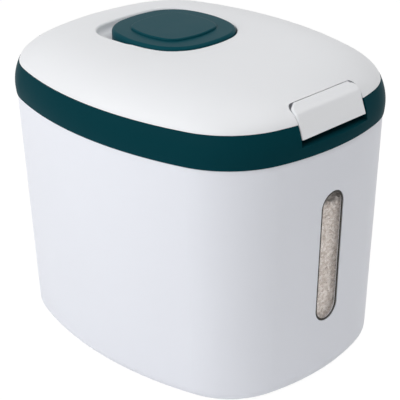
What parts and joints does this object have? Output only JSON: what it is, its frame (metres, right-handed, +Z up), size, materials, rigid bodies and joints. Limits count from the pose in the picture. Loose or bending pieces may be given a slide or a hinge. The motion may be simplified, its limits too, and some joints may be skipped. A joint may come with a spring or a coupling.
{
  "type": "rice storage bin",
  "caption": "Tapered white rice storage bin with a dark green rim collar, a hinged domed lid, a front latch, a stowed measuring cup and a window strip",
  "frame": {"origin": "middle of the bucket's footprint, on the surface it stands on", "axes": "+X to the right of the latch side seen from the front, +Y towards the hinges, +Z up; the latch is at -Y"},
  "size_m": [0.24, 0.306, 0.2577],
  "materials": {
    "bucket_plastic": "satin",
    "lid_plastic": "satin",
    "dark_green_plastic": "satin",
    "clear_pane": "clear",
    "gasket_rubber": "matte",
    "steel": "plain"
  },
  "bodies": {
    "bin": {"bin_body": "bucket_plastic", "window_pane": "clear_pane", "rim_collar": "dark_green_plastic", "hinge_pin_left": "steel", "hinge_pin_right": "steel"},
    "lid": {"lid_shell": "lid_plastic", "lid_liner": "lid_plastic", "lid_gasket": "gasket_rubber", "liner_screws": "steel", "latch_pin": "steel"},
    "latch": {"latch_flap": "lid_plastic"},
    "cup": {"measuring_cup": "dark_green_plastic"}
  },
  "joints": [
    {"name": "lid_hinge", "type": "hinge", "parent": "bin", "child": "lid", "pos_m": [0, 0.1525, 0.2255], "axis": [-1, 0, 0], "range_deg": [0, 95]},
    {"name": "latch_pivot", "type": "hinge", "parent": "lid", "child": "latch", "pos_m": [0, -0.134, 0.2364], "axis": [-1, 0, 0], "range_deg": [0, 60]},
    {"name": "cup_lift", "type": "slide", "parent": "lid", "child": "cup", "axis": [0, 0, 1], "range_m": [0, 0.045]}
  ]
}
